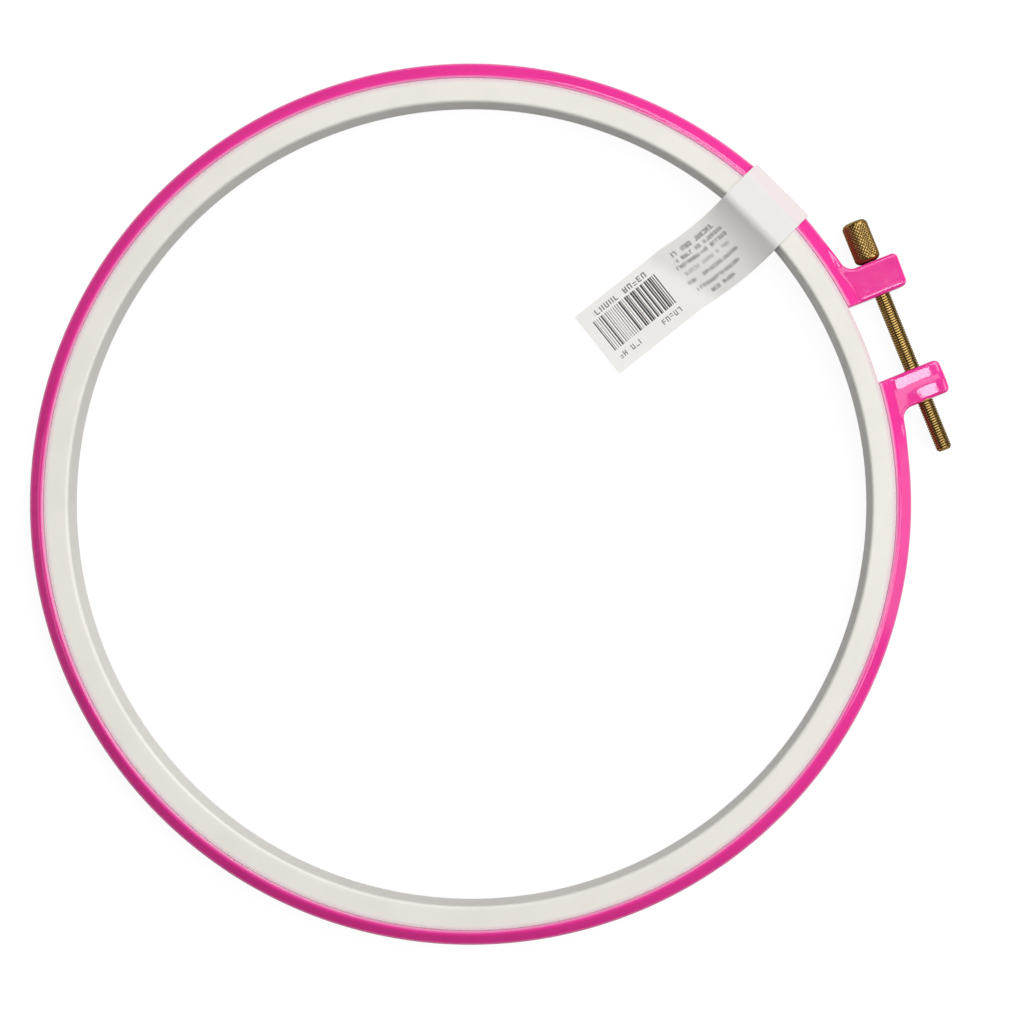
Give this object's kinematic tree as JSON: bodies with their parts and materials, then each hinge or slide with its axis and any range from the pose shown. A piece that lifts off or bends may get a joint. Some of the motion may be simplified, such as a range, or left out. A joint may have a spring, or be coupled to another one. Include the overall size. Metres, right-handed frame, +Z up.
{
  "type": "embroidery hoop",
  "caption": "Round screw-clamp embroidery hoop: a split outer ring with clamp lugs and a knurled brass screw, a closed inner ring that lifts out, and a blank paper hang tag.",
  "frame": {"origin": "middle of the whole footprint, on the surface that the hoop lies on (the under side of the hang tag's lower leaf)", "axes": "+Z up through the hoop's opening, +X from the middle of the rings through the clamp gap, +Y along the clamp screw towards its knurled head"},
  "size_m": [0.2952, 0.2804, 0.0111],
  "materials": {
    "pink_plastic": "glossy moulded plastic, strong pink",
    "white_plastic": "satin moulded plastic, warm off-white",
    "screw_brass": "turned and knurled brass, dark in the grooves",
    "insert_brass": "plain turned brass",
    "label_paper": "smooth white label paper, printed with plain bars and lines"
  },
  "bodies": {
    "outer_ring": {"outer_ring": "pink_plastic", "hang_tag": "label_paper"},
    "inner_ring": {"inner_ring": "white_plastic"},
    "screw_nut": {"threaded_insert": "insert_brass"},
    "clamp_screw": {"clamp_screw": "screw_brass"}
  },
  "joints": [
    {"name": "inner_ring_lift", "type": "slide", "parent": "outer_ring", "child": "inner_ring", "axis": [0, 0, 1], "range_m": [0, 0.012], "deforming": ["hang_tag"]},
    {"name": "screw_turn", "type": "hinge", "parent": "outer_ring", "child": "screw_nut", "pos_m": [0.1394, 0, 0.00475], "axis": [0, 1, 0], "range_deg": [0, 6300]},
    {"name": "screw_travel", "type": "slide", "parent": "screw_nut", "child": "clamp_screw", "axis": [0, 1, 0], "range_m": [0, 0.014]}
  ],
  "couplings": [
    {"joint": "screw_turn", "follows": "screw_travel", "rad_per_m": 7854}
  ]
}
